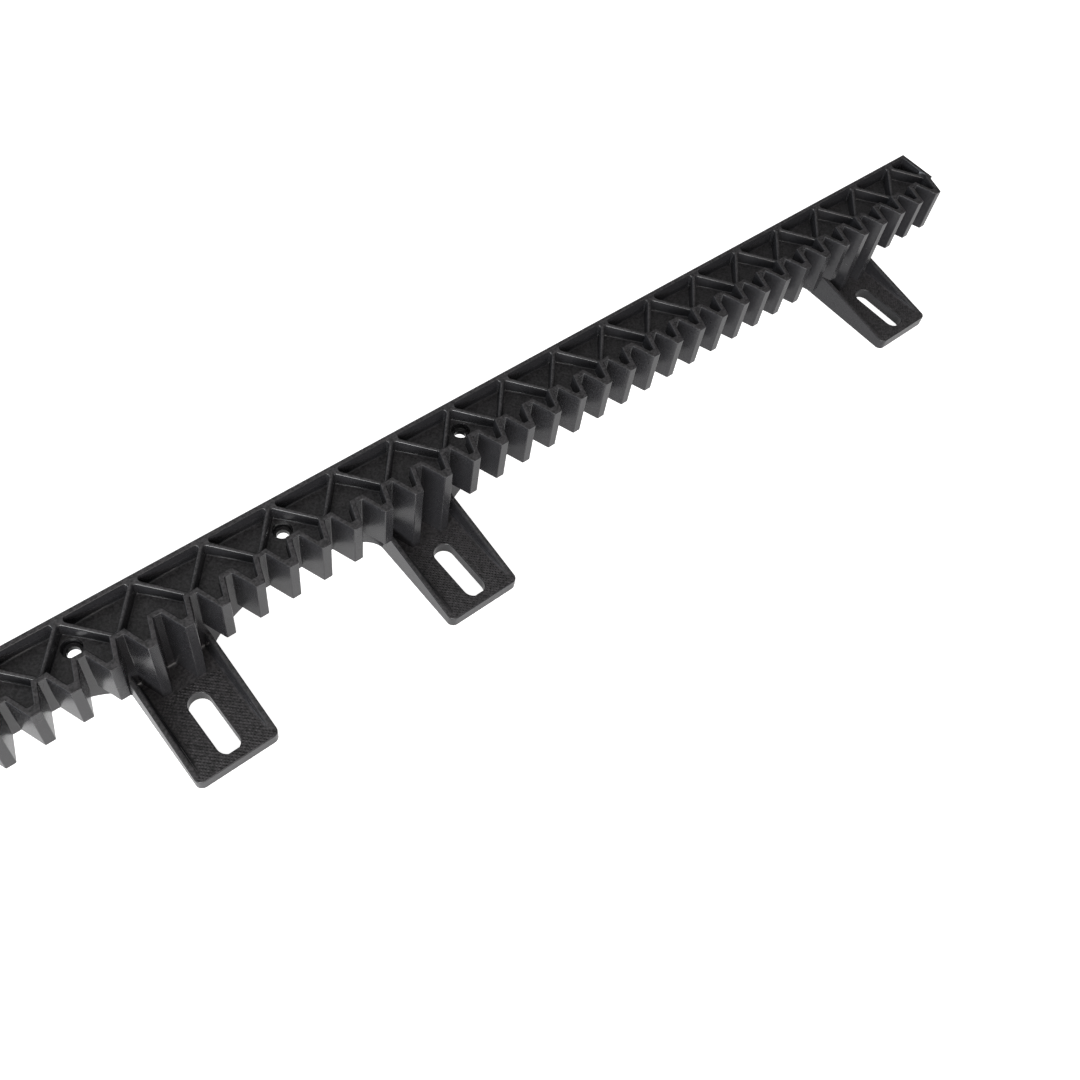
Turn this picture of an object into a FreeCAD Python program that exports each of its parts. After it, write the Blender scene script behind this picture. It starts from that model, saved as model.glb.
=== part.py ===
import FreeCAD, Part
import math
import os

# Toothed rack for a sliding gate, moulded in glass-filled nylon: a row of module 4 teeth on a
# spine, a shallow trough stiffened by a zigzag truss behind it, and six slotted lugs that hold the
# rack clear of the gate. The trough runs on into a hollow in the top of each tooth.
#
# Frame: X runs along the rack from its middle. Y is measured from the pitch line, with the teeth
# towards -Y. Z rises out of the gate from the mounting face under the lugs.

# Teeth
MODULE = 4.0
PRESSURE_ANGLE = 20.0
TOOTH_COUNT = 80
FACE_WIDTH = 20.0
ADDENDUM_FACTOR = 1.0
DEDENDUM_FACTOR = 1.25
TIP_ROUND = 0.35
TOOTH_WALL_THICKNESS = 1.8
TOOTH_TIP_BLOCK = 3.4

# Body behind the teeth
SPINE_THICKNESS = 1.8
TROUGH_WIDTH = 13.9
BACK_WALL_THICKNESS = 1.8
BACK_WALL_HEIGHT = 14.0
END_WALL_THICKNESS = 1.8
POCKET_DEPTH = 6.0
WEB_THICKNESS = 2.0
RIB_THICKNESS = 1.6
RIB_CROWN_ROUND = 0.7
RIB_DROP_AT_WALL = 0.5
RIB_DROP_AT_SPINE = 2.0

# Countersunk holes through the web, placed by tooth spaces from the middle of the rack
FIRST_HOLE_SPACES = 7
HOLE_STEP_SPACES = 6
HOLES_PER_SIDE = 3
HOLE_DIAMETER = 4.4
HOLE_SEAT_DIAMETER = 6.6
HOLE_SEAT_DEPTH = 3.0
HOLE_FLOOR_THICKNESS = 2.0
HOLE_BOSS_WALL = 0.9
HOLE_TO_BACK_WALL = 7.5

# Lugs, placed by tooth spaces so that a space always lies over each slot
END_LUG_SPACES = 4
MIDDLE_BAY_SPACES = 18
LUG_PAIR_SPACES = 8
STANDOFF = 18.0
PLATE_THICKNESS = 5.0
LUG_WIDTH = 30.2
LUG_REACH = 32.8
LUG_CORNER_RADIUS = 2.5
RIM_THICKNESS = 2.4
RIM_ROOT_HEIGHT = 7.3
SLOT_WIDTH = 8.0
SLOT_LENGTH = 25.0
SLOT_END_LAND = 3.2
FLARE_LENGTH = 22.0
FLARE_WAIST = 8.0
FLARE_WAIST_DROP = 7.2

# How far apart two ends may be and still count as level
LEVEL_TOLERANCE = 1e-6

# Worked out from the sizes above
PITCH = math.pi * MODULE
LENGTH = TOOTH_COUNT * PITCH
TIP_Y = -ADDENDUM_FACTOR * MODULE
ROOT_Y = DEDENDUM_FACTOR * MODULE
TROUGH_FRONT_Y = ROOT_Y + SPINE_THICKNESS
TROUGH_BACK_Y = TROUGH_FRONT_Y + TROUGH_WIDTH
BACK_Y = TROUGH_BACK_Y + BACK_WALL_THICKNESS
LUG_END_Y = TIP_Y - LUG_REACH
TOP_Z = STANDOFF + FACE_WIDTH
WEB_TOP_Z = TOP_Z - POCKET_DEPTH
WEB_BOTTOM_Z = WEB_TOP_Z - WEB_THICKNESS
BACK_WALL_BOTTOM_Z = TOP_Z - BACK_WALL_HEIGHT
HOLE_Y = TROUGH_BACK_Y - HOLE_TO_BACK_WALL
HALF_LUG = LUG_WIDTH / 2


def vector(x, y, z):
    return FreeCAD.Vector(x, y, z)


def box(x_range, y_range, z_range):
    size = [high - low for low, high in (x_range, y_range, z_range)]
    return Part.makeBox(*size, vector(x_range[0], y_range[0], z_range[0]))


def prism(points, direction):
    """Extrude the closed outline through the points along the direction."""
    outline = Part.makePolygon(points + points[:1])
    return Part.Face(outline).extrude(direction)


def moved(shape, x):
    copy = shape.copy()
    copy.translate(vector(x, 0, 0))
    return copy


def space_x(number):
    """Middle of a tooth space, counted from the left end, where a half space is number 0."""
    return number * PITCH - LENGTH / 2


def lug_spaces():
    middle = TOOTH_COUNT // 2
    inner = MIDDLE_BAY_SPACES // 2
    outer = inner + LUG_PAIR_SPACES
    left = [END_LUG_SPACES, middle - outer, middle - inner]
    right = [middle + inner, middle + outer, TOOTH_COUNT - END_LUG_SPACES]
    return left + right


def hole_spaces():
    middle = TOOTH_COUNT // 2
    steps = [FIRST_HOLE_SPACES + HOLE_STEP_SPACES * number for number in range(HOLES_PER_SIDE)]
    return [middle - step for step in reversed(steps)] + [middle + step for step in steps]


def half_tooth(y):
    """Half the thickness of a tooth at the height y: a quarter of the pitch on the pitch line."""
    return PITCH / 4 + y * math.tan(math.radians(PRESSURE_ANGLE))


def tooth(bottom_z):
    """Straight-flanked rack tooth about X = 0, from bottom_z to the top face."""
    root = half_tooth(ROOT_Y)
    tip = half_tooth(TIP_Y)
    corners = [(-root, ROOT_Y), (-tip, TIP_Y), (tip, TIP_Y), (root, ROOT_Y)]
    outline = [vector(x, y, bottom_z) for x, y in corners]
    body = prism(outline, vector(0, 0, TOP_Z - bottom_z))
    tip_edges = [edge for edge in body.Edges if is_tip_edge(edge)]
    return body.makeFillet(TIP_ROUND, tip_edges).cut(tooth_hollow())


def is_tip_edge(edge):
    start = edge.Vertexes[0].Point
    end = edge.Vertexes[-1].Point
    upright = abs(start.z - end.z) > FACE_WIDTH / 2
    return upright and abs(start.y - TIP_Y) < LEVEL_TOLERANCE


def tooth_hollow():
    """Hollow in the top of a tooth about X = 0, as deep as the trough and open to it."""
    wall = TOOTH_WALL_THICKNESS / math.cos(math.radians(PRESSURE_ANGLE))
    front_y = TIP_Y + TOOTH_TIP_BLOCK
    front = half_tooth(front_y) - wall
    back = half_tooth(TROUGH_FRONT_Y) - wall
    corners = [(-back, TROUGH_FRONT_Y), (-front, front_y), (front, front_y), (back, TROUGH_FRONT_Y)]
    outline = [vector(x, y, WEB_TOP_Z) for x, y in corners]
    return prism(outline, vector(0, 0, POCKET_DEPTH))


def tooth_x(number):
    return space_x(number) + PITCH / 2


def teeth_nodes():
    """Short teeth stop level with the body. The two over each lug run down to its plate."""
    over_lugs = set()
    for space in lug_spaces():
        over_lugs.update((space - 1, space))
    short = tooth(STANDOFF)
    tall = tooth(PLATE_THICKNESS)
    places = {number: tooth_x(number) for number in range(TOOTH_COUNT)}
    short_teeth = [moved(short, x) for number, x in places.items() if number not in over_lugs]
    lug_teeth = [moved(tall, x) for number, x in places.items() if number in over_lugs]
    return {"teeth": short_teeth, "lug_teeth": lug_teeth}


def spine():
    """Wall behind the teeth, let down to the floor of the trough behind each tooth."""
    wall = box((-LENGTH / 2, LENGTH / 2), (ROOT_Y, TROUGH_FRONT_Y), (STANDOFF, TOP_Z))
    hollow = tooth_hollow()
    return wall.cut([moved(hollow, tooth_x(number)) for number in range(TOOTH_COUNT)])


def back_wall():
    return box((-LENGTH / 2, LENGTH / 2), (TROUGH_BACK_Y, BACK_Y), (BACK_WALL_BOTTOM_Z, TOP_Z))


def end_wall(side):
    """Wall that closes the trough above the web. The side is -1 at the left and 1 at the right."""
    outer = side * LENGTH / 2
    inner = outer - side * END_WALL_THICKNESS
    x_range = (min(inner, outer), max(inner, outer))
    return box(x_range, (TROUGH_FRONT_Y, TROUGH_BACK_Y), (WEB_TOP_Z, TOP_Z))


def web():
    """Floor of the trough, with the seat of each countersunk hole let through it."""
    floor = box((-LENGTH / 2, LENGTH / 2), (TROUGH_FRONT_Y, TROUGH_BACK_Y), (WEB_BOTTOM_Z, WEB_TOP_Z))
    for space in hole_spaces():
        centre = vector(space_x(space), HOLE_Y, WEB_BOTTOM_Z)
        floor = floor.cut(Part.makeCylinder(HOLE_SEAT_DIAMETER / 2, WEB_THICKNESS, centre))
    return floor


def hole_bosses():
    """Cup under the web at each hole: the rest of the seat, and a floor with the through hole."""
    bottom = WEB_TOP_Z - HOLE_SEAT_DEPTH - HOLE_FLOOR_THICKNESS
    height = WEB_BOTTOM_Z - bottom
    centre = vector(0, HOLE_Y, bottom)
    seat_base = centre + vector(0, 0, HOLE_FLOOR_THICKNESS)
    cup = Part.makeCylinder(HOLE_SEAT_DIAMETER / 2 + HOLE_BOSS_WALL, height, centre)
    cup = cup.cut(Part.makeCylinder(HOLE_SEAT_DIAMETER / 2, height, seat_base))
    cup = cup.cut(Part.makeCylinder(HOLE_DIAMETER / 2, height, centre))
    return [moved(cup, space_x(space)) for space in hole_spaces()]


def truss_rib(start, end, x_range):
    """Upright rib with a rounded crown between two (x, y, top) places, cut off square by x_range."""
    run = vector(*end) - vector(*start)
    along = FreeCAD.Vector(run).normalize()
    first = vector(*start) - along * RIB_THICKNESS
    last = vector(*end) + along * RIB_THICKNESS
    across = vector(-along.y, along.x, 0).normalize() * RIB_THICKNESS
    outline = [first, last, at_web(last), at_web(first)]
    rib = prism([point - across / 2 for point in outline], across)
    crown = [edge for edge in rib.Edges if is_crown_edge(edge, run.Length)]
    rib = rib.makeFillet(RIB_CROWN_ROUND, crown)
    cell = box(x_range, (TROUGH_FRONT_Y, TROUGH_BACK_Y), (WEB_TOP_Z, TOP_Z))
    return rib.common(cell).Solids[0]


def at_web(point):
    return vector(point.x, point.y, WEB_TOP_Z)


def is_crown_edge(edge, run_length):
    heights = [vertex.Point.z for vertex in edge.Vertexes]
    return min(heights) > WEB_TOP_Z + LEVEL_TOLERANCE and edge.Length > run_length


def truss():
    """Zigzag of ribs that meets the back wall at the odd tooth spaces and the spine at the even.

    Each rib starts just under the top of the back wall and falls towards the spine.
    """
    inner_end = LENGTH / 2 - END_WALL_THICKNESS
    spine_end = (TROUGH_FRONT_Y, TOP_Z - RIB_DROP_AT_SPINE)
    wall_end = (TROUGH_BACK_Y, TOP_Z - RIB_DROP_AT_WALL)
    ribs = []
    for number in range(TOOTH_COUNT):
        left_x = space_x(number)
        right_x = space_x(number + 1)
        left, right = (spine_end, wall_end) if number % 2 == 0 else (wall_end, spine_end)
        x_range = (max(left_x, -inner_end), min(right_x, inner_end))
        ribs.append(truss_rib((left_x, *left), (right_x, *right), x_range))
    return ribs


def lug_plate():
    """Slotted plate that lies on the gate, with its two free corners rounded."""
    plate = box((-HALF_LUG, HALF_LUG), (LUG_END_Y, BACK_Y), (0, PLATE_THICKNESS))
    corners = [edge for edge in plate.Edges if is_free_corner(edge)]
    plate = plate.makeFillet(LUG_CORNER_RADIUS, corners)
    return plate.cut(slot())


def is_free_corner(edge):
    start = edge.Vertexes[0].Point
    end = edge.Vertexes[-1].Point
    return abs(start.z - end.z) > PLATE_THICKNESS / 2 and abs(start.y - LUG_END_Y) < LEVEL_TOLERANCE


def slot():
    radius = SLOT_WIDTH / 2
    outer_y = LUG_END_Y + SLOT_END_LAND + radius
    inner_y = LUG_END_Y + SLOT_END_LAND + SLOT_LENGTH - radius
    cutter = box((-radius, radius), (outer_y, inner_y), (0, PLATE_THICKNESS))
    for y in (outer_y, inner_y):
        cutter = cutter.fuse(Part.makeCylinder(radius, PLATE_THICKNESS, vector(0, y, 0)))
    return cutter.removeSplitter()


def lug_cheek(side):
    """Side wall: a rim that tapers to nothing at the free end, and a bracket under the body."""
    rim_top = PLATE_THICKNESS + RIM_ROOT_HEIGHT
    taper_start = LUG_END_Y + LUG_CORNER_RADIUS
    profile = [
        (taper_start, PLATE_THICKNESS),
        (BACK_Y, PLATE_THICKNESS),
        (BACK_Y, BACK_WALL_BOTTOM_Z),
        (TROUGH_BACK_Y, BACK_WALL_BOTTOM_Z),
        (TROUGH_BACK_Y, WEB_BOTTOM_Z),
        (TROUGH_FRONT_Y, WEB_BOTTOM_Z),
        (TROUGH_FRONT_Y, STANDOFF),
        (ROOT_Y, STANDOFF),
        (ROOT_Y, rim_top),
    ]
    left_x = HALF_LUG - RIM_THICKNESS if side > 0 else -HALF_LUG
    return prism([vector(left_x, y, z) for y, z in profile], vector(RIM_THICKNESS, 0, 0))


def lug_flare(side):
    """Gusset under the spine, whose free edge sweeps up from the lug to the body in one arc."""
    foot = vector(side * HALF_LUG, ROOT_Y, 0)
    waist = foot + vector(side * FLARE_WAIST, 0, STANDOFF - FLARE_WAIST_DROP)
    tail = foot + vector(side * FLARE_LENGTH, 0, STANDOFF)
    corner = foot + vector(0, 0, STANDOFF)
    edges = [
        Part.Arc(foot, waist, tail).toShape(),
        Part.makeLine(tail, corner),
        Part.makeLine(corner, foot),
    ]
    return Part.Face(Part.Wire(edges)).extrude(vector(0, SPINE_THICKNESS, 0))


def lug():
    """One lug about X = 0: plate, side walls, and front and rear walls up to the body."""
    width = (-HALF_LUG, HALF_LUG)
    pieces = [
        box(width, (ROOT_Y, TROUGH_FRONT_Y), (PLATE_THICKNESS, STANDOFF)),
        box(width, (TROUGH_BACK_Y, BACK_Y), (PLATE_THICKNESS, BACK_WALL_BOTTOM_Z)),
    ]
    for side in (-1, 1):
        pieces.append(lug_cheek(side))
        pieces.append(lug_flare(side))
    return lug_plate().fuse(pieces).removeSplitter()


def build_nodes():
    nodes = {
        "spine": [spine()],
        "back_wall": [back_wall()],
        "web": [web()],
        "hole_bosses": hole_bosses(),
        "truss_ribs": truss(),
        "end_wall_left": [end_wall(-1)],
        "end_wall_right": [end_wall(1)],
    }
    nodes.update(teeth_nodes())
    pattern = lug()
    for number, space in enumerate(lug_spaces(), start=1):
        nodes[f"lug_{number}"] = [moved(pattern, space_x(space))]
    return nodes


def export(nodes):
    os.makedirs("parts", exist_ok=True)
    for name, solids in nodes.items():
        shape = solids[0] if len(solids) == 1 else Part.makeCompound(solids)
        shape.exportStep(f"parts/{name}.step")
        print(name, len(shape.Solids), "solids", round(shape.Volume), "mm3")


export(build_nodes())
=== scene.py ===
import math

import bpy
import numpy as np
from mathutils import Euler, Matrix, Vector, geometry


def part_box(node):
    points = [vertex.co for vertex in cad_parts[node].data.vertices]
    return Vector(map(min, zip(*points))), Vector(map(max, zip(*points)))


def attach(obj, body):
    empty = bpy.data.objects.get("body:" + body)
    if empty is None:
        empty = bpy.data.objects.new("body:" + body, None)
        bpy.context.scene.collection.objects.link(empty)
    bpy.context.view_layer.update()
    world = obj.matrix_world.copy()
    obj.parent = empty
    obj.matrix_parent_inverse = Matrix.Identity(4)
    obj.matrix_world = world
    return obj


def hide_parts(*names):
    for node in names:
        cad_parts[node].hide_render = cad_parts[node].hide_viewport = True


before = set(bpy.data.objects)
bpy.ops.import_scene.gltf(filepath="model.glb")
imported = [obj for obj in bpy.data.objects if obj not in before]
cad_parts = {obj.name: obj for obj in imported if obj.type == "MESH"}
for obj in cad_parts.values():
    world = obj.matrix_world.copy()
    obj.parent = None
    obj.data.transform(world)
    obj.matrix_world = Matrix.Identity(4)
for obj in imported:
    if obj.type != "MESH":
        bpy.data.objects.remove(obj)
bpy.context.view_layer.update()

# A moulded nylon rack for a sliding gate. All the sizes below are in millimetres, and the
# meshes are scaled to metres when they are made. X runs along the rack, the teeth point
# towards -Y, and Z rises from the face that lies on the gate.

MM = 0.001

# Overall frame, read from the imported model
LENGTH = (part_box("spine")[1].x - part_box("spine")[0].x) / MM
TOP_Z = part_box("spine")[1].z / MM
BODY_BOTTOM_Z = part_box("spine")[0].z / MM
ROOT_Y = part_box("spine")[0].y / MM
TROUGH_FRONT_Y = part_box("spine")[1].y / MM
TROUGH_BACK_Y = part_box("back_wall")[0].y / MM
BACK_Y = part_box("back_wall")[1].y / MM
BACK_WALL_BOTTOM_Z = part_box("back_wall")[0].z / MM
WEB_TOP_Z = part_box("web")[1].z / MM
WEB_BOTTOM_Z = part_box("web")[0].z / MM
BOSS_BOTTOM_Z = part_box("hole_bosses")[0].z / MM
TIP_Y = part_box("teeth")[0].y / MM
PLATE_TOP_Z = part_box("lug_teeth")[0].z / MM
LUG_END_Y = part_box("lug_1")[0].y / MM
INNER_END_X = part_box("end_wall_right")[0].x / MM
HALF_LENGTH = LENGTH / 2

# Teeth
TOOTH_COUNT = 80
PITCH = LENGTH / TOOTH_COUNT
FLANK_ANGLE = math.radians(20)
TIP_RADIUS = 0.45
ROOT_RADIUS = 0.5
TOP_EDGE_ROUND = 0.3
TOOTH_FOOT_CHAMFER = 0.25
TOOTH_WALL_THICKNESS = 1.8
TOOTH_TIP_BLOCK = 3.4
FLANK_STEPS = 4

# Trough, ribs and holes
RIB_THICKNESS = 1.6
RIB_CROWN_RADIUS = 0.72
RIB_DROP_AT_WALL = 0.5
RIB_DROP_AT_SPINE = 2.0
TROUGH_EDGE_ROUND = 0.4
CORNER_RADII = {"rib": (0.8, 0.3), "back": (0.8, 0.3), "front": (0.5, 0.05)}
HOLLOW_CORNER_RADIUS = 0.15
FOOT_RADII = {"rib": 0.5, "back": 0.75, "front": 0.35}
WALL_DRAFT = 0.12
WALL_STEP = 0.16
WALL_STEP_RISE = 2.2
WALL_STEP_HALF_BAND = 0.12
HOLE_SPACES = (7, 13, 19)
HOLE_Y = 13.2
HOLE_RADIUS = 2.2
SEAT_RADIUS = 3.3
SEAT_Z = 29.0
HOLE_EDGE_ROUND = 0.3
SEAT_CHAMFER = 0.2
BOSS_RADIUS = 4.2
BOSS_CHAMFER = 0.3
HOLE_STEPS = 48

# Lugs, by tooth spaces from the middle of the rack
LUG_SPACES = (-36, -17, -9, 9, 17, 36)
HALF_LUG = 15.1
LUG_CORNER_RADIUS = 2.5
RIM_ROOT_HEIGHT = 7.3
RIM_THICKNESS = 2.4
RIM_EDGE_ROUND = 0.45
RIM_CREST_ROUND = 0.9
RIM_FOOT_RADIUS = 1.3
RIM_CREST_INSET = 0.35
RIM_FOOT_INSET = 0.1
ROOT_FOOT_RADIUS = 1.2
LUG_FOOT_CHAMFER = 0.3
LUG_BACK_RADIUS = 0.3
LUG_LEAST_RADIUS = 0.4
SLOT_RADIUS = 4.0
SLOT_LENGTH = 25.0
SLOT_END_LAND = 3.2
SLOT_EDGE = 0.35
FLARE_LENGTH = 22.0
FLARE_WAIST = 8.0
FLARE_WAIST_DROP = 7.2
FLARE_STEPS = 20

# How far one closed part of a lug reaches into the next, or stands clear of its faces
BEHIND_TEETH = 0.02
BRACKET_LAP = 0.4
TEETH_LAP = 0.5
BEHIND_BACK = 0.02
LOWER_BRACKET_CLEARANCE = 0.03
UPPER_BRACKET_CLEARANCE = 0.05
BRACKET_TOP_LAP = 0.1

# Surface of the nylon: colours of its darkest and lightest specks, and heights of its relief. The
# upright faces' colours are darker than the flats' as painted shade
SPECK_RANGE = (0.36, 0.64)
FLAT_COLOURS = ((0.010, 0.010, 0.010), (0.060, 0.057, 0.060))
UPRIGHT_SHADE_PAINTED_COLOURS = ((0.017, 0.017, 0.019), (0.024, 0.024, 0.026))
HATCH_PITCH = 1.05
HATCH_HEIGHT = 0.18
HATCH_AHEAD_OF_TIPS = 0.9
GRAIN_HEIGHT = 0.12

# Camera, fitted to the photograph's viewing angle
CAMERA_PLACE = (0.0570, -0.1852, 0.3635)
CAMERA_TURN = (33.772, -6.980, -40.021)
CAMERA_LENS = 39.04
SENSOR_WIDTH = 36

# Brightness of the room behind the camera and at the far end, with the part of the X
# direction over which it turns from one to the other
ROOM_NEAR = 0.6
ROOM_FAR = 0.1
ROOM_TURN = (0.1, 0.6)

# The table's own brightness to the camera and in reflections, its half width and its height
TABLE_SEEN = 0.9
TABLE_MIRRORED = 0.42
TABLE_REACH = 4000
TABLE_Z = -0.02

# Lamps: name, place and size in metres, power in watts, colour. All aim at one place.
LAMPS = (
    ("low_lamp", (-0.85, -0.84, 0.42), (1.0, 0.4), 20, (1, 1, 1)),
    ("window", (-1.3, 0.6, 0.5), (0.6, 0.6), 8, (0.85, 0.92, 1)),
    ("front_fill", (-0.1, -1.7, 0.75), (1.2, 0.6), 12, (1, 0.92, 0.88)),
)
LIT_PLACE = (0.15, 0, 0)

# Points along each side and round each corner of a pocket
SIDE_STEPS = 10
CORNER_STEPS = 5


# ---------------------------------------------------------------- mesh tools


class Surface:
    """Collects faces in millimetres and welds corners that are at the same place."""

    def __init__(self):
        self.points = []
        self.index = {}
        self.faces = []

    def corner(self, point):
        key = tuple(round(value, 3) for value in point)
        if key not in self.index:
            self.index[key] = len(self.points)
            self.points.append(tuple(point))
        return self.index[key]

    def face(self, points):
        corners = []
        for point in points:
            corner = self.corner(point)
            if corner not in corners:
                corners.append(corner)
        if len(corners) > 2:
            self.faces.append(corners)

    def strip(self, first, second, closed=False):
        """Quads between two rows of points. The normal is first x second, by the right hand."""
        count = len(first)
        for number in range(count if closed else count - 1):
            following = (number + 1) % count
            self.face([first[number], first[following], second[following], second[number]])

    def fill(self, outlines, z, up=True):
        """Flat face at the height z inside the first outline and outside the others."""
        places = []
        edges = []
        for outline in outlines:
            base = len(places)
            places += [Vector((point[0], point[1])) for point in outline]
            count = len(outline)
            edges += [(base + step, base + (step + 1) % count) for step in range(count)]
        made = geometry.delaunay_2d_cdt(places, edges, [], 1, 1e-5)
        triangles = [[made[0][corner] for corner in triangle] for triangle in made[2]]
        middles = np.array([sum(corners, Vector((0, 0))) / 3 for corners in triangles])
        kept = inside(middles, outlines[0])
        for hole in outlines[1:]:
            kept &= ~inside(middles, hole)
        for corners, keep in zip(triangles, kept):
            if not keep:
                continue
            if (corner_area(corners) > 0) != up:
                corners.reverse()
            self.face([(corner.x, corner.y, z) for corner in corners])

    def object(self, name, material, sharp_angle=32):
        mesh = bpy.data.meshes.new(name)
        mesh.from_pydata([Vector(point) * MM for point in self.points], [], self.faces)
        mesh.validate()
        mesh.shade_smooth()
        mesh.set_sharp_from_angle(angle=math.radians(sharp_angle))
        mesh.materials.append(material)
        piece = bpy.data.objects.new(name, mesh)
        bpy.context.scene.collection.objects.link(piece)
        weights = piece.modifiers.new("even_normals", "WEIGHTED_NORMAL")
        weights.keep_sharp = True
        return piece


def inside(points, outline):
    """Which of the points are inside the closed outline."""
    edge = np.array([(point[0], point[1]) for point in outline])
    result = np.zeros(len(points), bool)
    for start, end in zip(edge, np.roll(edge, -1, axis=0)):
        if start[1] == end[1]:
            continue
        crosses = (start[1] > points[:, 1]) != (end[1] > points[:, 1])
        share = (points[:, 1] - start[1]) / (end[1] - start[1])
        result ^= crosses & (points[:, 0] < start[0] + share * (end[0] - start[0]))
    return result


def corner_area(corners):
    total = 0
    for number, corner in enumerate(corners):
        following = corners[(number + 1) % len(corners)]
        total += corner.x * following.y - following.x * corner.y
    return total


def lerp(start, end, share):
    return start + (end - start) * share


def smooth(share):
    return share * share * (3 - 2 * share)


def quarter(steps):
    """Angles from 0 to a right angle."""
    return [math.pi / 2 * step / steps for step in range(steps + 1)]


def line_cross(corner, first_normal, first_inset, second_normal, second_inset):
    """Where two lines through the corner meet once each has moved along its normal."""
    turn = first_normal.x * second_normal.y - first_normal.y * second_normal.x
    x = (first_inset * second_normal.y - second_inset * first_normal.y) / turn
    y = (second_inset * first_normal.x - first_inset * second_normal.x) / turn
    return corner + Vector((x, y))


class Ring:
    """Points round an outline whose sides move inwards and whose corners are rounded.

    The outline runs counter-clockwise, and its corners may turn either way. Every point knows
    the two sides that it lies between and its share of the second one.
    """

    def __init__(self, corners, insets, radii, side_steps=SIDE_STEPS):
        count = len(corners)
        normals = inward_normals(corners)
        arcs = []
        for number in range(count):
            before = normals[number - 1]
            after = normals[number]
            turn = 1 if before.cross(after) > 0 else -1
            shift = turn * radii[number]
            centre = line_cross(
                corners[number], before, insets[number - 1] + shift, after, insets[number] + shift
            )
            arc = []
            for step in range(CORNER_STEPS + 1):
                arc.append(centre - before.slerp(after, step / CORNER_STEPS) * shift)
            arcs.append(arc)
        self.points = []
        self.sides = []
        for number, arc in enumerate(arcs):
            for step, point in enumerate(arc):
                self.points.append(point)
                self.sides.append(((number - 1) % count, number, step / CORNER_STEPS))
            start = arc[-1]
            end = arcs[(number + 1) % count][0]
            for step in range(1, side_steps):
                self.points.append(start.lerp(end, step / side_steps))
                self.sides.append((number, number, 0))


def inward_normals(corners):
    following = corners[1:] + corners[:1]
    sides = [(end - start).normalized() for start, end in zip(corners, following)]
    return [Vector((-side.y, side.x)) for side in sides]


def circle(x, y, radius, steps):
    angles = [2 * math.pi * step / steps for step in range(steps)]
    return [(x + radius * math.cos(angle), y + radius * math.sin(angle)) for angle in angles]


def at(points, z):
    return [(point[0], point[1], z) for point in points]


def space_x(number):
    """Middle of a tooth space, counted from the left end of the rack."""
    return number * PITCH - HALF_LENGTH


# ---------------------------------------------------------------- teeth


def half_tooth(y):
    return PITCH / 4 + y * math.tan(FLANK_ANGLE)


def tooth_outline():
    """Half of a tooth's outline about X = 0, from its root land to its tip land.

    Each entry is a point and its outward normal.
    """
    flank = Vector((-math.cos(FLANK_ANGLE), -math.sin(FLANK_ANGLE)))
    forward = Vector((0, -1))
    root = Vector((-half_tooth(ROOT_Y), ROOT_Y))
    tip = Vector((-half_tooth(TIP_Y), TIP_Y))
    half_turn = (math.pi / 2 - FLANK_ANGLE) / 2
    steps = 3

    root_centre = root - Vector((ROOT_RADIUS * math.tan(half_turn), ROOT_RADIUS))
    tip_centre = tip + Vector((TIP_RADIUS * math.tan(half_turn), TIP_RADIUS))
    rows = []
    for step in range(steps + 1):
        normal = forward.slerp(flank, step / steps)
        rows.append((root_centre - normal * ROOT_RADIUS, normal))
    end = tip_centre + flank * TIP_RADIUS
    start = rows[-1][0]
    for step in range(1, FLANK_STEPS):
        rows.append((start.lerp(end, step / FLANK_STEPS), flank))
    for step in range(steps + 1):
        normal = flank.slerp(forward, step / steps)
        rows.append((tip_centre + normal * TIP_RADIUS, normal))
    return rows


def front_outline(first_tooth, last_tooth):
    """Outline of a run of teeth from left to right, with the half root lands at its ends."""
    half = tooth_outline()
    mirrored = [(Vector((-p.x, p.y)), Vector((-n.x, n.y))) for p, n in reversed(half)]
    rows = []
    for tooth in range(first_tooth, last_tooth):
        middle = Vector((space_x(tooth) + PITCH / 2, 0))
        rows += [(point + middle, normal) for point, normal in half + mirrored]
    return rows


# ---------------------------------------------------------------- trough


def crown_z(y):
    share = (y - TROUGH_FRONT_Y) / (TROUGH_BACK_Y - TROUGH_FRONT_Y)
    return TOP_Z - lerp(RIB_DROP_AT_SPINE, RIB_DROP_AT_WALL, share)


def node(number):
    """Where two ribs meet: on the spine at the even spaces, on the back wall at the odd."""
    return Vector((space_x(number), TROUGH_FRONT_Y if number % 2 == 0 else TROUGH_BACK_Y))


def clip(corners, kinds, edge_x, keep):
    """Cut a cell off at edge_x by an end wall. keep is 1 to keep the greater side, or -1."""
    within = [keep * (corner.x - edge_x) >= -1e-6 for corner in corners]
    if all(within):
        return corners, kinds
    new_corners = []
    new_kinds = []
    for number, corner in enumerate(corners):
        following = corners[(number + 1) % len(corners)]
        next_within = within[(number + 1) % len(corners)]
        if within[number]:
            new_corners.append(corner)
            new_kinds.append(kinds[number])
        if within[number] != next_within:
            share = (edge_x - corner.x) / (following.x - corner.x)
            new_corners.append(corner.lerp(following, share))
            new_kinds.append("front" if within[number] else kinds[number])
    return new_corners, new_kinds


def hollow_corners(tooth):
    """Corners of the hollow in a tooth, from its left end on the spine to its right end."""
    middle = space_x(tooth) + PITCH / 2
    wall = TOOTH_WALL_THICKNESS / math.cos(FLANK_ANGLE)
    front_y = TIP_Y + TOOTH_TIP_BLOCK
    back = half_tooth(TROUGH_FRONT_Y) - wall
    front = half_tooth(front_y) - wall
    places = [(-back, TROUGH_FRONT_Y), (-front, front_y), (front, front_y), (back, TROUGH_FRONT_Y)]
    return [Vector((middle + x, y)) for x, y in places]


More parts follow.
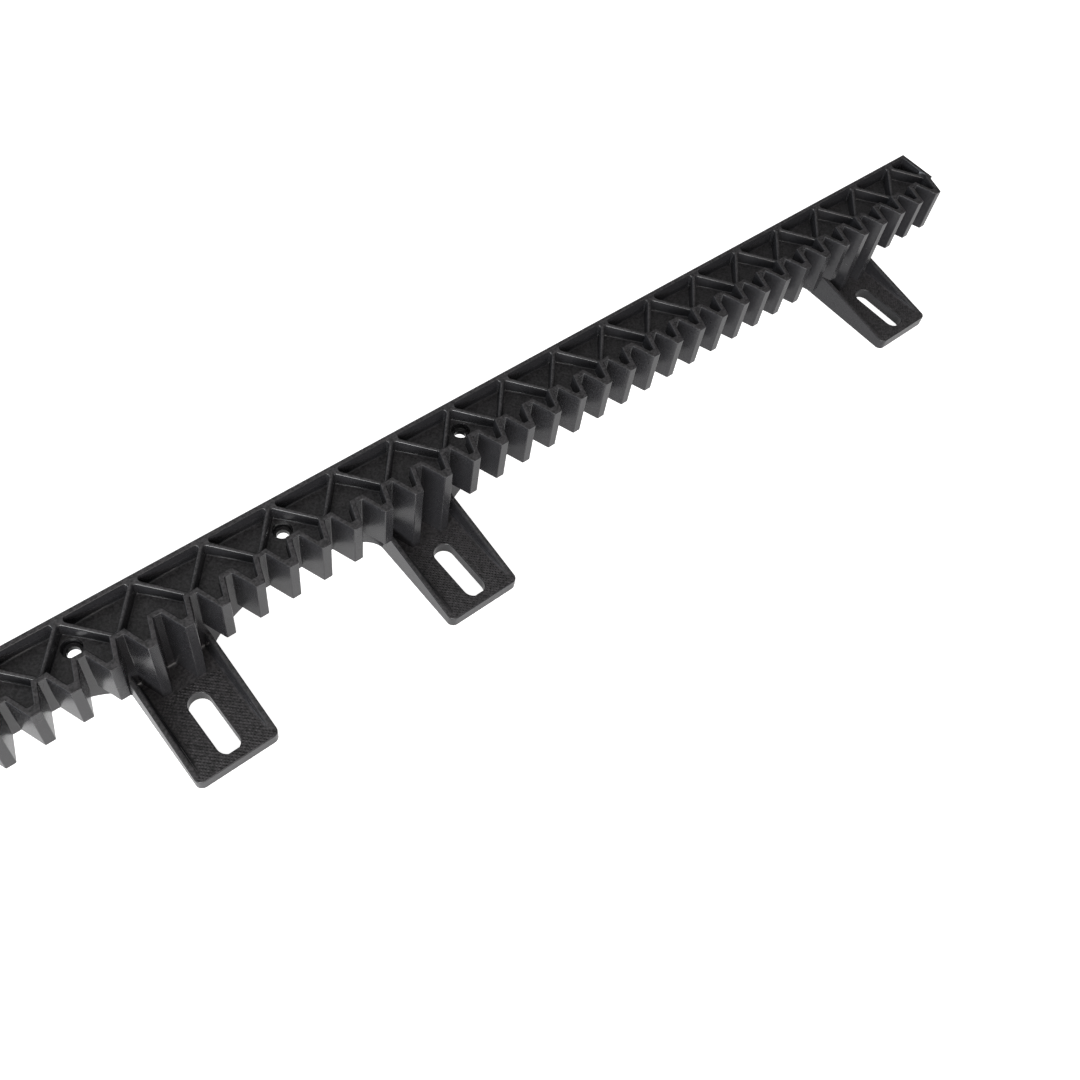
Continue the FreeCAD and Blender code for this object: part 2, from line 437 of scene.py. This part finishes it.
def cells():
    """Every pocket between two ribs and a wall, as corners in turn and the kind of each side.

    A pocket with its apex on the back wall takes in the hollows of the two teeth before it.
    """
    made = []
    for number in range(TOOTH_COUNT + 1):
        apex = node(number)
        left = Vector((space_x(number - 1), node(number - 1).y))
        right = Vector((space_x(number + 1), node(number + 1).y))
        if number % 2:
            hollows = hollow_corners(number - 1) + hollow_corners(number)
            corners = [left] + hollows + [right, apex]
            kinds = ["front"] * (len(hollows) + 1) + ["rib", "rib"]
        else:
            corners = [right, left, apex]
            kinds = ["back", "rib", "rib"]
        corners, kinds = clip(corners, kinds, -INNER_END_X, 1)
        corners, kinds = clip(corners, kinds, INNER_END_X, -1)
        made.append((corners, kinds))
    return made


def side_profile(kind):
    """Rows down one kind of side, each with its inset and a distance from the top or the floor.

    The middle value is True where the distance is from the top. The back wall has a small step.
    """
    face = RIB_THICKNESS / 2 if kind == "rib" else 0
    edge = RIB_CROWN_RADIUS if kind == "rib" else TROUGH_EDGE_ROUND
    step = WALL_STEP if kind == "back" else 0
    foot = FOOT_RADII[kind]
    rows = []
    for angle in reversed(quarter(4)[:-1]):
        rows.append((face - edge * (1 - math.cos(angle)), True, edge * (1 - math.sin(angle))))
    rows.append((face + WALL_DRAFT / 2, False, WALL_STEP_RISE + WALL_STEP_HALF_BAND))
    rows.append((face + WALL_DRAFT / 2 + step, False, WALL_STEP_RISE - WALL_STEP_HALF_BAND))
    for angle in quarter(5):
        inset = face + WALL_DRAFT + step + foot * (1 - math.cos(angle))
        rows.append((inset, False, foot * (1 - math.sin(angle))))
    return rows


PROFILES = {kind: side_profile(kind) for kind in FOOT_RADII}


def cell_radii(corners, kinds, row):
    """Radius at each corner: shrinking down an inner corner, growing down an outer one."""
    normals = inward_normals(corners)
    radii = []
    for number, kind in enumerate(kinds):
        other = "front" if kinds[number - 1] == "front" else kind
        depth = PROFILES[other][row][0] - (RIB_THICKNESS / 2 if other == "rib" else 0)
        top_radius, least = CORNER_RADII[other]
        if normals[number - 1].cross(normals[number]) > 0:
            radii.append(max(least, top_radius - depth))
        else:
            radii.append(max(0, HOLLOW_CORNER_RADIUS + depth))
    return radii


def side_height(kind, y, row):
    _, from_top, distance = PROFILES[kind][row]
    if not from_top:
        return WEB_TOP_Z + distance
    return (crown_z(y) if kind == "rib" else TOP_Z) - distance


def cell_ring(corners, kinds, row):
    insets = [PROFILES[kind][row][0] for kind in kinds]
    ring = Ring(corners, insets, cell_radii(corners, kinds, row))
    points = []
    for point, (before, after, share) in zip(ring.points, ring.sides):
        heights = [side_height(kinds[side], point.y, row) for side in (before, after)]
        points.append((point.x, point.y, lerp(heights[0], heights[1], smooth(share))))
    return points


def edge_climb(corner, outward):
    """Points up a wall's face and over its top edge, above the place where a rib meets it."""
    low = crown_z(corner.y)
    high = TOP_Z - TROUGH_EDGE_ROUND
    climb = [(corner.x, corner.y, low), (corner.x, corner.y, max(low, (low + high) / 2))]
    for angle in quarter(CORNER_STEPS - 2):
        move = outward * TROUGH_EDGE_ROUND * (1 - math.cos(angle))
        z = high + TROUGH_EDGE_ROUND * math.sin(angle)
        climb.append((corner.x + move.x, corner.y + move.y, z))
    return climb


def cell_rim(corners, kinds):
    """Outermost ring of a cell: the middle lines of its ribs and the top edges of its walls."""
    normals = inward_normals(corners)
    arcs = []
    for number, corner in enumerate(corners):
        before, after = kinds[number - 1] == "rib", kinds[number] == "rib"
        if before and after:
            arc = [(corner.x, corner.y, crown_z(corner.y))] * (CORNER_STEPS + 1)
        elif before:
            arc = edge_climb(corner, -normals[number])
        elif after:
            arc = list(reversed(edge_climb(corner, -normals[number - 1])))
        else:
            edge = -TROUGH_EDGE_ROUND
            place = line_cross(corner, normals[number - 1], edge, normals[number], edge)
            arc = [(place.x, place.y, TOP_Z)] * (CORNER_STEPS + 1)
        arcs.append(arc)
    points = []
    for number, arc in enumerate(arcs):
        points += arc
        start = Vector(arc[-1])
        end = Vector(arcs[(number + 1) % len(arcs)][0])
        points += [tuple(start.lerp(end, step / SIDE_STEPS)) for step in range(1, SIDE_STEPS)]
    return points


def holes():
    middle = TOOTH_COUNT // 2
    return [middle - space for space in HOLE_SPACES] + [middle + space for space in HOLE_SPACES]


def add_cell(surface, number, corners, kinds):
    rings = [cell_rim(corners, kinds)]
    rings += [cell_ring(corners, kinds, row) for row in range(len(PROFILES["rib"]))]
    for outer, inner in zip(rings, rings[1:]):
        surface.strip(outer, inner, closed=True)
    outlines = [rings[-1]]
    if number in holes():
        edge = circle(space_x(number), HOLE_Y, SEAT_RADIUS + HOLE_EDGE_ROUND, HOLE_STEPS)
        outlines.append(edge)
    surface.fill(outlines, WEB_TOP_Z)


def add_hole(surface, x):
    """Counterbored hole from the pocket's floor down through its boss."""
    profile = []
    for angle in quarter(3):
        radius = SEAT_RADIUS + HOLE_EDGE_ROUND * (1 - math.sin(angle))
        profile.append((radius, WEB_TOP_Z - HOLE_EDGE_ROUND * (1 - math.cos(angle))))
    profile += [(SEAT_RADIUS, SEAT_Z + SEAT_CHAMFER), (SEAT_RADIUS - SEAT_CHAMFER, SEAT_Z)]
    profile += [(HOLE_RADIUS + SEAT_CHAMFER, SEAT_Z), (HOLE_RADIUS, SEAT_Z - SEAT_CHAMFER)]
    profile += [(HOLE_RADIUS, BOSS_BOTTOM_Z), (BOSS_RADIUS - BOSS_CHAMFER, BOSS_BOTTOM_Z)]
    profile += [(BOSS_RADIUS, BOSS_BOTTOM_Z + BOSS_CHAMFER), (BOSS_RADIUS, WEB_BOTTOM_Z)]
    rings = [at(circle(x, HOLE_Y, radius, HOLE_STEPS), z) for radius, z in profile]
    for upper, lower in zip(rings, rings[1:]):
        surface.strip(upper, lower, closed=True)


def trough_outline(rims):
    """Top edge of the whole trough, joined up from the rims of its cells."""
    following = {}
    for rim in rims:
        places = [tuple(round(value, 3) for value in point) for point in rim]
        for place, next_place in zip(places, places[1:] + places[:1]):
            level = place[2] == next_place[2] == round(TOP_Z, 3)
            if level and place != next_place:
                following[place] = next_place
    outline = [min(following)]
    while following[outline[-1]] != outline[0]:
        outline.append(following[outline[-1]])
    return outline


# ---------------------------------------------------------------- body


def over_lug(x):
    """Whether the place is on one of the two teeth over a lug."""
    return any(abs(x - space * PITCH) < PITCH for space in LUG_SPACES)


def body_outline():
    """Whole outline of the body, counter-clockwise, as point, outward miter and foot chamfer."""
    corner_miters = ((-1, -1), (1, -1), (1, 1), (-1, 1))
    right, left = HALF_LENGTH, -HALF_LENGTH
    places = ((left, ROOT_Y), (right, ROOT_Y), (right, BACK_Y), (left, BACK_Y))
    corners = [(Vector(p), Vector(m), 0) for p, m in zip(places, corner_miters)]
    rows = [corners[0]]
    for point, normal in front_outline(0, TOOTH_COUNT):
        on_root = point.y > ROOT_Y - 1e-3
        chamfer = 0 if on_root or over_lug(point.x) else TOOTH_FOOT_CHAMFER
        rows.append((point, normal, chamfer))
    rows += corners[1:]
    return rows


def rack_body(material):
    surface = Surface()
    rims = []
    for number, (corners, kinds) in enumerate(cells()):
        add_cell(surface, number, corners, kinds)
        rims.append(cell_rim(corners, kinds))
    for number in holes():
        add_hole(surface, space_x(number))

    outline = body_outline()
    rows = []
    for angle in quarter(3):
        inset = TOP_EDGE_ROUND * (1 - math.sin(angle))
        z = TOP_Z - TOP_EDGE_ROUND * (1 - math.cos(angle))
        rows.append([(*(point - miter * inset), z) for point, miter, _ in outline])
    surface.fill([rows[0], trough_outline(rims)], TOP_Z)
    for upper, lower in zip(rows, rows[1:]):
        surface.strip(lower, upper, closed=True)
    add_skirts(surface, outline, rows[-1])
    return surface.object("rack_body", material)


def add_skirts(surface, outline, edge):
    """Walls below the rounded top edge, the underside and the two flat end faces."""
    front = outline[:-2]
    chamfered = [(p.x, p.y, BODY_BOTTOM_Z + chamfer) for p, _, chamfer in front]
    bottom = [(*(p - miter * chamfer), BODY_BOTTOM_Z) for p, miter, chamfer in front]
    surface.strip(chamfered, edge[:-2])
    surface.strip(bottom, chamfered)
    spine_line = [(HALF_LENGTH, TROUGH_FRONT_Y), (-HALF_LENGTH, TROUGH_FRONT_Y)]
    surface.fill([bottom + spine_line], BODY_BOTTOM_Z, up=False)

    right = HALF_LENGTH
    left = -HALF_LENGTH
    underside = [(left, TROUGH_FRONT_Y), (right, TROUGH_FRONT_Y)]
    underside += [(right, TROUGH_BACK_Y), (left, TROUGH_BACK_Y)]
    bosses = [circle(space_x(number), HOLE_Y, BOSS_RADIUS, HOLE_STEPS) for number in holes()]
    surface.fill([underside] + bosses, WEB_BOTTOM_Z, up=False)
    section = [
        (TROUGH_FRONT_Y, BODY_BOTTOM_Z), (TROUGH_FRONT_Y, WEB_BOTTOM_Z),
        (TROUGH_BACK_Y, WEB_BOTTOM_Z), (TROUGH_BACK_Y, BACK_WALL_BOTTOM_Z),
        (BACK_Y, BACK_WALL_BOTTOM_Z), (BACK_Y, edge[-1][2]),
    ]
    underside_side = 1
    for number in range(len(section) - 1):
        if number == underside_side:
            continue
        (y, z), (next_y, next_z) = section[number], section[number + 1]
        surface.face([(left, y, z), (left, next_y, next_z), (right, next_y, next_z), (right, y, z)])
    profile = [(ROOT_Y, edge[-1][2]), (ROOT_Y, BODY_BOTTOM_Z)] + section
    surface.face([(right, y, z) for y, z in profile])
    surface.face([(left, y, z) for y, z in reversed(profile)])


# ---------------------------------------------------------------- lugs


def rim_height(y):
    """Height of a lug's rim over its plate: none at the front corners, full at the root land."""
    share = (y - LUG_END_Y - LUG_CORNER_RADIUS) / (ROOT_Y - LUG_END_Y - LUG_CORNER_RADIUS)
    return RIM_ROOT_HEIGHT * max(0, min(1, share))


def lug_profile():
    """Rows over the rim from the gate face to the floor: inset, fall and ceiling.

    A row is as high over the plate as the rim is there, less its fall, but under its ceiling.
    Where the rim is too low for both rounds, the rows inside its edge shrink with it.
    """
    edge = RIM_EDGE_ROUND
    face = RIM_THICKNESS
    above_chamfer = PLATE_TOP_Z - LUG_FOOT_CHAMFER
    rows = [(LUG_FOOT_CHAMFER, PLATE_TOP_Z, -PLATE_TOP_Z), (0, above_chamfer, -above_chamfer)]
    for angle in quarter(3):
        rows.append((edge * (1 - math.cos(angle)), edge * (1 - math.sin(angle)), RIM_ROOT_HEIGHT))
    for angle in quarter(4):
        inset = face - RIM_CREST_INSET - RIM_CREST_ROUND * (1 - math.sin(angle))
        rows.append((inset, RIM_CREST_ROUND * (1 - math.cos(angle)), RIM_ROOT_HEIGHT))
    for angle in quarter(5):
        inset = face - RIM_FOOT_INSET + RIM_FOOT_RADIUS * (1 - math.cos(angle))
        rows.append((inset, RIM_CREST_ROUND, RIM_FOOT_RADIUS * (1 - math.sin(angle))))
    return rows


def lug_ring(middle_x, inset, fall, ceiling):
    """One row round a lug, from a row of lug_profile."""
    corners = [
        Vector((middle_x - HALF_LUG, LUG_END_Y)), Vector((middle_x + HALF_LUG, LUG_END_Y)),
        Vector((middle_x + HALF_LUG, BACK_Y)), Vector((middle_x - HALF_LUG, BACK_Y)),
    ]
    front = max(LUG_LEAST_RADIUS, LUG_CORNER_RADIUS - inset)
    radii = [front, front, LUG_BACK_RADIUS, LUG_BACK_RADIUS]
    ring = Ring(corners, [inset] * 4, radii, side_steps=24)
    points = []
    for point in ring.points:
        height = rim_height(point.y)
        low = min(1, height / (RIM_CREST_ROUND + RIM_FOOT_RADIUS))
        shrink = low if inset > RIM_EDGE_ROUND else 1
        points.append((point.x, point.y, PLATE_TOP_Z + min(height - fall * shrink, ceiling * shrink)))
    return points


def slot_ring(middle_x, radius, z):
    """Outline of the slot at one height, two half circles joined by its straight sides."""
    outer_y = LUG_END_Y + SLOT_END_LAND + SLOT_RADIUS
    inner_y = LUG_END_Y + SLOT_END_LAND + SLOT_LENGTH - SLOT_RADIUS
    steps = 16
    points = []
    for middle_y, start in ((outer_y, math.pi), (inner_y, 0)):
        for step in range(steps + 1):
            angle = start + math.pi * step / steps
            x = middle_x + radius * math.cos(angle)
            points.append((x, middle_y + radius * math.sin(angle), z))
    return points


def add_lug_plate(surface, middle_x):
    rings = [lug_ring(middle_x, *row) for row in lug_profile()]
    for lower, upper in zip(rings, rings[1:]):
        surface.strip(lower, upper, closed=True)
    slot = []
    for angle in quarter(3):
        radius = SLOT_RADIUS + SLOT_EDGE * (1 - math.sin(angle))
        slot.append((radius, PLATE_TOP_Z - SLOT_EDGE * (1 - math.cos(angle))))
    slot += [(SLOT_RADIUS, SLOT_EDGE), (SLOT_RADIUS + SLOT_EDGE, 0)]
    slot_rings = [slot_ring(middle_x, radius, z) for radius, z in slot]
    for upper, lower in zip(slot_rings, slot_rings[1:]):
        surface.strip(upper, lower, closed=True)
    surface.fill([rings[-1], slot_rings[0]], PLATE_TOP_Z)
    surface.fill([rings[0], slot_rings[-1]], 0, up=False)


def add_prism(surface, outline, z_range):
    """Upright closed prism over an outline given counter-clockwise."""
    low, high = z_range
    lower = at(outline, low)
    upper = at(outline, high)
    surface.strip(lower, upper, closed=True)
    surface.fill([lower], low, up=False)
    surface.fill([upper], high)


def add_lug_teeth(surface, number):
    """The two teeth over the lug, from its plate up to the body."""
    rows = front_outline(number - 1, number + 1)
    outline = [(point.x, point.y) for point, _ in rows]
    back_y = TROUGH_FRONT_Y - TEETH_LAP
    outline += [(rows[-1][0].x, back_y), (rows[0][0].x, back_y)]
    add_prism(surface, outline, (PLATE_TOP_Z - TEETH_LAP, BODY_BOTTOM_Z))


def add_root_foot(surface, middle_x):
    """Fillet along the foot of the front wall, where it meets the plate between the rims."""
    half = HALF_LUG - RIM_THICKNESS
    rows = []
    for angle in quarter(5):
        y = ROOT_Y - ROOT_FOOT_RADIUS * (1 - math.sin(angle))
        z = PLATE_TOP_Z + ROOT_FOOT_RADIUS * (1 - math.cos(angle))
        rows.append([(middle_x - half, y, z), (middle_x + half, y, z)])
    for lower, upper in zip(rows, rows[1:]):
        surface.strip(lower, upper)


def arc_through(start, middle, end, steps):
    """Points on the circle through three places in a plane."""
    ax, ay = middle[0] - start[0], middle[1] - start[1]
    bx, by = end[0] - start[0], end[1] - start[1]
    turn = 2 * (ax * by - ay * bx)
    a_square = ax * ax + ay * ay
    b_square = bx * bx + by * by
    centre_x = start[0] + (by * a_square - ay * b_square) / turn
    centre_y = start[1] + (ax * b_square - bx * a_square) / turn
    radius = math.hypot(start[0] - centre_x, start[1] - centre_y)
    first = math.atan2(start[1] - centre_y, start[0] - centre_x)
    last = math.atan2(end[1] - centre_y, end[0] - centre_x)
    swing = (last - first + math.pi) % (2 * math.pi) - math.pi
    angles = [first + swing * step / steps for step in range(steps + 1)]
    return [(centre_x + radius * math.cos(a), centre_y + radius * math.sin(a)) for a in angles]


def add_front_wall(surface, middle_x):
    """Wall under the spine, between the swept edges of the two gussets."""
    sweep = arc_through(
        (HALF_LUG, LUG_FOOT_CHAMFER),
        (HALF_LUG + FLARE_WAIST, BODY_BOTTOM_Z - FLARE_WAIST_DROP),
        (HALF_LUG + FLARE_LENGTH, BODY_BOTTOM_Z),
        FLARE_STEPS,
    )
    right = [(middle_x + x, z) for x, z in sweep]
    left = [(middle_x - x, z) for x, z in reversed(sweep)]
    outline = right + left
    front = [(x, ROOT_Y + BEHIND_TEETH, z) for x, z in outline]
    rear = [(x, TROUGH_FRONT_Y, z) for x, z in outline]
    surface.strip(rear, front, closed=True)
    triangles = geometry.tessellate_polygon([[Vector((x, z, 0)) for x, z in outline]])
    for triangle in triangles:
        corners = [Vector(outline[corner]) for corner in triangle]
        order = triangle if corner_area(corners) > 0 else tuple(reversed(triangle))
        surface.face([front[corner] for corner in order])
        surface.face([rear[corner] for corner in reversed(order)])


def add_bracket(surface, middle_x):
    """Two closed boxes behind the front wall that carry the body on the lug.

    Neither shares a plane with a face of the lug or of the body, which would show as a blotch.
    """
    front_y = TROUGH_FRONT_Y - BRACKET_LAP
    lower = (
        HALF_LUG - LOWER_BRACKET_CLEARANCE, BACK_Y - BEHIND_BACK,
        PLATE_TOP_Z - BRACKET_LAP, BACK_WALL_BOTTOM_Z + BRACKET_TOP_LAP,
    )
    upper = (
        HALF_LUG - UPPER_BRACKET_CLEARANCE, TROUGH_BACK_Y + BRACKET_LAP,
        BACK_WALL_BOTTOM_Z, WEB_BOTTOM_Z + BRACKET_TOP_LAP,
    )
    for half, back_y, bottom_z, top_z in (lower, upper):
        left, right = middle_x - half, middle_x + half
        outline = [(left, front_y), (right, front_y), (right, back_y), (left, back_y)]
        add_prism(surface, outline, (bottom_z, top_z))


def lug(number, space, material):
    middle_x = space * PITCH
    surface = Surface()
    add_lug_plate(surface, middle_x)
    add_lug_teeth(surface, TOOTH_COUNT // 2 + space)
    add_root_foot(surface, middle_x)
    add_front_wall(surface, middle_x)
    add_bracket(surface, middle_x)
    return surface.object(f"slotted_lug_{number}", material)


# ---------------------------------------------------------------- material


def lug_hatch(nodes, links, place, flatness):
    """Fine diamond hatching on the flat floor of the lugs, in front of the tooth tips."""

    def math_node(operation, first, second):
        made = nodes.new("ShaderNodeMath")
        made.operation = operation
        for number, value in enumerate((first, second)):
            if isinstance(value, (int, float)):
                made.inputs[number].default_value = value
            else:
                links.new(value, made.inputs[number])
        return made.outputs["Value"]

    turned = nodes.new("ShaderNodeMapping")
    turned.inputs["Rotation"].default_value = (0, 0, math.radians(45))
    links.new(place, turned.inputs["Vector"])
    # The node's bands repeat every 2 pi / 20 metres at a scale of 1
    wave_scale = 2 * math.pi / (20 * HATCH_PITCH * MM)
    lines = []
    for direction in ("X", "Y"):
        wave = nodes.new("ShaderNodeTexWave")
        wave.bands_direction = direction
        wave.inputs["Scale"].default_value = wave_scale
        wave.inputs["Distortion"].default_value = 0.4
        links.new(turned.outputs["Vector"], wave.inputs["Vector"])
        lines.append(wave.outputs["Fac"])
    split = nodes.new("ShaderNodeSeparateXYZ")
    links.new(place, split.inputs["Vector"])
    ahead = math_node("LESS_THAN", split.outputs["Y"], (TIP_Y - HATCH_AHEAD_OF_TIPS) * MM)
    nearly_flat = 0.98
    flat = math_node("GREATER_THAN", flatness, nearly_flat)
    region = math_node("MULTIPLY", ahead, flat)
    return math_node("MULTIPLY", math_node("MULTIPLY", *lines), region)


def nylon():
    """Black glass-filled nylon: rough speckled flats and smoother upright faces, whose darker colour
    is painted shade.
    """
    material = bpy.data.materials.new("moulded_nylon")
    material.use_nodes = True
    nodes = material.node_tree.nodes
    links = material.node_tree.links
    shader = nodes["Principled BSDF"]
    place = nodes.new("ShaderNodeTexCoord")

    def noise(scale, detail, roughness=0.5):
        texture = nodes.new("ShaderNodeTexNoise")
        texture.inputs["Scale"].default_value = scale
        texture.inputs["Detail"].default_value = detail
        texture.inputs["Roughness"].default_value = roughness
        links.new(place.outputs["Object"], texture.inputs["Vector"])
        return texture.outputs["Fac"]

    def specks(colours):
        made = nodes.new("ShaderNodeValToRGB")
        stops = zip(SPECK_RANGE, colours)
        for element, (position, colour) in zip(made.color_ramp.elements, stops):
            element.position = position
            element.color = (*colour, 1)
        links.new(speckle, made.inputs["Fac"])
        return made.outputs["Color"]

    def spread(source, low, high, start=0.0):
        made = nodes.new("ShaderNodeMapRange")
        made.inputs["From Min"].default_value = start
        made.inputs["To Min"].default_value = low
        made.inputs["To Max"].default_value = high
        links.new(source, made.inputs["Value"])
        return made.outputs["Result"]

    def sum_of(first, second):
        made = nodes.new("ShaderNodeMath")
        links.new(first, made.inputs[0])
        links.new(second, made.inputs[1])
        return made.outputs["Value"]

    facing = nodes.new("ShaderNodeSeparateXYZ")
    links.new(place.outputs["Normal"], facing.inputs["Vector"])
    flatness = spread(facing.outputs["Z"], 0, 1, start=0.8)

    speckle = noise(1300, 3, 0.65)
    cloud = noise(120, 4)
    # Upright faces take darker speckle colours than the flats: painted shade chosen by facing, laid
    # over the nylon's real speckle
    shade_by_facing = nodes.new("ShaderNodeMix")
    shade_by_facing.data_type = "RGBA"
    links.new(flatness, shade_by_facing.inputs["Factor"])
    links.new(specks(UPRIGHT_SHADE_PAINTED_COLOURS), shade_by_facing.inputs["A"])
    links.new(specks(FLAT_COLOURS), shade_by_facing.inputs["B"])
    links.new(shade_by_facing.outputs["Result"], shader.inputs["Base Color"])

    hatch = lug_hatch(nodes, links, place.outputs["Object"], flatness)
    shine = sum_of(spread(flatness, 0.22, 0.38), spread(cloud, 0, 0.08))
    links.new(shine, shader.inputs["Roughness"])

    crossed = nodes.new("ShaderNodeBump")
    crossed.inputs["Distance"].default_value = HATCH_HEIGHT * MM
    links.new(hatch, crossed.inputs["Height"])
    grain = nodes.new("ShaderNodeBump")
    grain.inputs["Distance"].default_value = GRAIN_HEIGHT * MM
    links.new(spread(flatness, 0.03, 0.5), grain.inputs["Strength"])
    links.new(speckle, grain.inputs["Height"])
    links.new(crossed.outputs["Normal"], grain.inputs["Normal"])
    links.new(grain.outputs["Normal"], shader.inputs["Normal"])
    return material


# ---------------------------------------------------------------- stage


def add_camera():
    data = bpy.data.cameras.new("camera")
    data.lens = CAMERA_LENS
    data.sensor_width = SENSOR_WIDTH
    data.clip_start = 0.01
    camera = bpy.data.objects.new("camera", data)
    camera.location = CAMERA_PLACE
    camera.rotation_euler = Euler([math.radians(angle) for angle in CAMERA_TURN], "XYZ")
    bpy.context.scene.collection.objects.link(camera)
    bpy.context.scene.camera = camera


def add_floor():
    """White table. It shows white to the camera and in reflections, and keeps the shadow."""
    surface = Surface()
    reach = TABLE_REACH
    corners = [(-reach, -reach), (reach, -reach), (reach, reach), (-reach, reach)]
    surface.fill([corners], TABLE_Z)
    material = bpy.data.materials.new("white_table")
    material.use_nodes = True
    nodes = material.node_tree.nodes
    links = material.node_tree.links
    shader = nodes["Principled BSDF"]
    shader.inputs["Base Color"].default_value = (0.82, 0.82, 0.82, 1)
    shader.inputs["Roughness"].default_value = 0.7
    shader.inputs["Emission Color"].default_value = (1, 1, 1, 1)
    rays = nodes.new("ShaderNodeLightPath")
    mirrored = nodes.new("ShaderNodeMath")
    mirrored.operation = "MULTIPLY"
    mirrored.inputs[1].default_value = TABLE_MIRRORED
    links.new(rays.outputs["Is Glossy Ray"], mirrored.inputs[0])
    glow = nodes.new("ShaderNodeMath")
    glow.operation = "MULTIPLY_ADD"
    glow.inputs[1].default_value = TABLE_SEEN
    links.new(rays.outputs["Is Camera Ray"], glow.inputs[0])
    links.new(mirrored.outputs["Value"], glow.inputs[2])
    links.new(glow.outputs["Value"], shader.inputs["Emission Strength"])
    floor = surface.object("table", material)


def add_area_light(name, place, size, power, colour):
    data = bpy.data.lights.new(name, "AREA")
    data.color = colour
    data.shape = "RECTANGLE"
    data.size, data.size_y = size
    data.energy = power
    light = bpy.data.objects.new(name, data)
    light.location = place
    aim = Vector(LIT_PLACE) - Vector(place)
    light.rotation_euler = aim.to_track_quat("-Z", "Y").to_euler()
    bpy.context.scene.collection.objects.link(light)


def add_world():
    """White room for the camera; for all other rays it darkens towards the far end."""
    world = bpy.data.worlds.new("world")
    world.use_nodes = True
    nodes = world.node_tree.nodes
    links = world.node_tree.links
    background = nodes["Background"]
    background.inputs["Color"].default_value = (1, 1, 1, 1)
    rays = nodes.new("ShaderNodeLightPath")
    coordinates = nodes.new("ShaderNodeTexCoord")
    direction = nodes.new("ShaderNodeSeparateXYZ")
    links.new(coordinates.outputs["Generated"], direction.inputs["Vector"])
    room = nodes.new("ShaderNodeMapRange")
    room.inputs["From Min"].default_value = ROOM_TURN[0]
    room.inputs["From Max"].default_value = ROOM_TURN[1]
    room.inputs["To Min"].default_value = ROOM_NEAR
    room.inputs["To Max"].default_value = ROOM_FAR
    links.new(direction.outputs["X"], room.inputs["Value"])
    level = nodes.new("ShaderNodeMapRange")
    links.new(room.outputs["Result"], level.inputs["To Min"])
    level.inputs["To Max"].default_value = 1.0
    links.new(rays.outputs["Is Camera Ray"], level.inputs["Value"])
    links.new(level.outputs["Result"], background.inputs["Strength"])
    bpy.context.scene.world = world


add_camera()
add_floor()
add_world()
for lamp in LAMPS:
    add_area_light(*lamp)

skin = nylon()
body = rack_body(skin)
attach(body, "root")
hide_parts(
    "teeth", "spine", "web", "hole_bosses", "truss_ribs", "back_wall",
    "end_wall_left", "end_wall_right", "lug_teeth",
)
for number, space in enumerate(LUG_SPACES, start=1):
    shell = lug(number, space, skin)
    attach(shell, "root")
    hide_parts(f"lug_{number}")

bpy.context.scene.view_settings.view_transform = "Standard"
